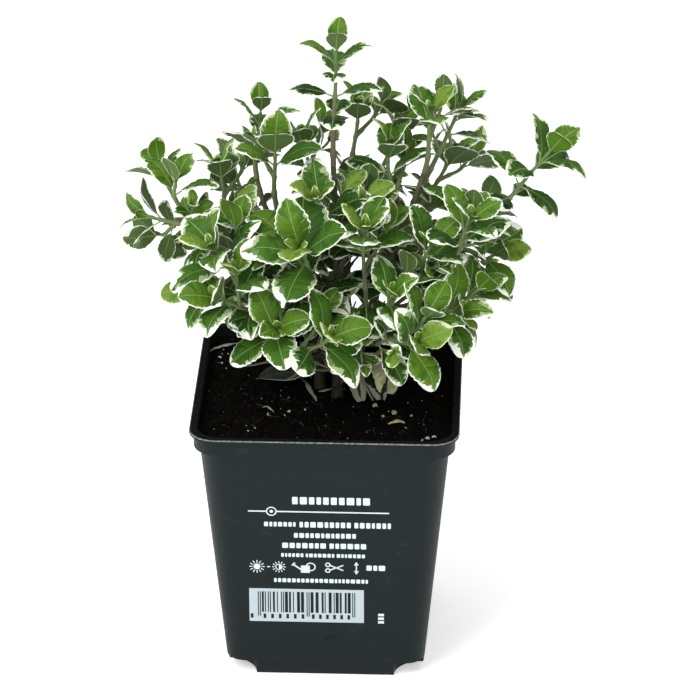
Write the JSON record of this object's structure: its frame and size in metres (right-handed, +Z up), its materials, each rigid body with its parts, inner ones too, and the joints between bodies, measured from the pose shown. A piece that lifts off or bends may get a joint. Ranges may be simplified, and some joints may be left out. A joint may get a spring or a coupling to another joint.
{
  "type": "wintercreeper euonymus in a square nursery pot",
  "caption": "Young evergreen shrub of small oval leaves, green with cream margins, on thin stems in a square tapered nursery pot of soil; stands on the pot's flat underside.",
  "frame": {"origin": "middle of the pot's flat underside", "axes": "+Z up; -Y is the pot's front, which carries the plain care panel; +X is to the right of someone who faces the front"},
  "size_m": [0.156, 0.1182, 0.2264],
  "materials": {
    "pot_plastic": "dark slate grey, satin, finely textured",
    "potting_soil": "moist, near black and crumbly",
    "bark": "grey brown, finely ridged, greener on the young boughs",
    "foliage": "waxy green leaves with cream margins"
  },
  "bodies": {
    "root": {"pot": "pot_plastic", "soil": "potting_soil", "stem_middle": "bark", "stem_left": "bark", "stem_right": "bark", "stem_front": "bark", "stem_back": "bark", "bough_top_left": "bark", "bough_far_left": "bark", "bough_left_front": "bark", "bough_front_left": "bark", "bough_front_right": "bark", "bough_right_front": "bark", "bough_far_right": "bark", "bough_back_left": "bark", "bough_back_right": "bark", "leaves_top": "foliage", "leaves_centre_front": "foliage", "leaves_far_right": "foliage", "leaves_top_left": "foliage", "leaves_left_upright": "foliage", "leaves_right_top": "foliage", "leaves_far_left": "foliage", "leaves_left_high": "foliage", "leaves_left_back": "foliage", "leaves_left_middle": "foliage", "leaves_left_inner": "foliage", "leaves_left_low": "foliage", "leaves_left_lower": "foliage", "leaves_centre_upper": "foliage", "leaves_centre_upper_right": "foliage", "leaves_centre_right": "foliage", "leaves_front_right": "foliage", "leaves_front_right_upper": "foliage", "leaves_front_left": "foliage", "leaves_front_centre": "foliage", "leaves_right_front": "foliage", "leaves_right_middle": "foliage", "leaves_right_low": "foliage", "leaves_right_lower": "foliage", "leaves_right_outer": "foliage", "leaves_right_old": "foliage", "leaves_right_top_back": "foliage", "leaves_upper_right": "foliage", "leaves_upper_back": "foliage", "leaves_back_upper_right": "foliage", "leaves_back_upper_left": "foliage", "leaves_back_middle": "foliage", "leaves_back_low": "foliage", "leaves_back_left": "foliage", "leaves_back_left_low": "foliage", "leaves_left_outer_back": "foliage", "leaves_back_right": "foliage", "leaves_back_right_low": "foliage", "leaves_right_outer_back": "foliage", "leaves_inner_low_left": "foliage", "leaves_inner_low_right": "foliage"}
  },
  "joints": []
}
